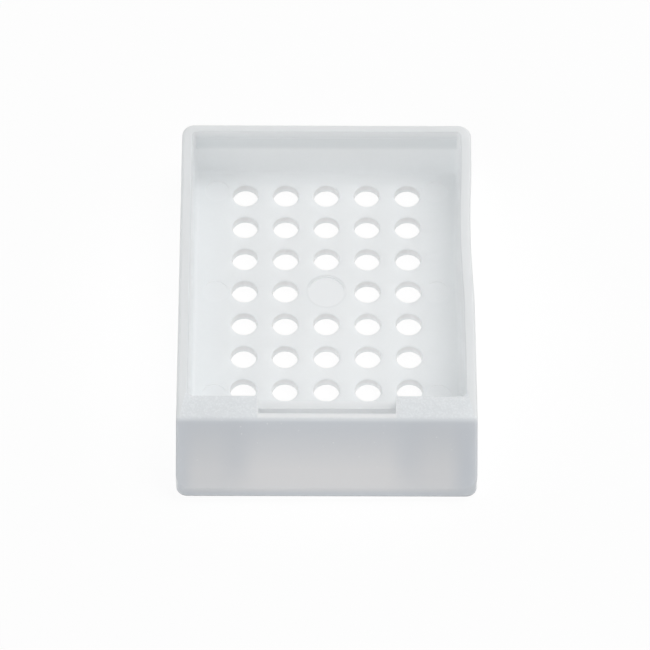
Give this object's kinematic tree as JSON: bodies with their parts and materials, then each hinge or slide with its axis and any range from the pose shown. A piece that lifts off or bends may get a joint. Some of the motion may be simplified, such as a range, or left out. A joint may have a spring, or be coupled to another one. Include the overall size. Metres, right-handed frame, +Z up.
{
  "type": "tissue cassette base",
  "caption": "Open perforated specimen tray moulded in one piece, with a sloped writing panel, a hollow behind it, and a slot and groove that take a clip-on lid.",
  "frame": {"origin": "centre of the footprint's bounding box, on the plane that the base stands on", "axes": "+X across the tray, +Y along its length away from the writing panel, +Z up out of the specimen chamber"},
  "size_m": [0.0286, 0.0394, 0.0063],
  "materials": {
    "white_acetal": "moulded, satin, slightly translucent"
  },
  "bodies": {
    "root": {"cassette_base": "white_acetal"}
  },
  "joints": []
}
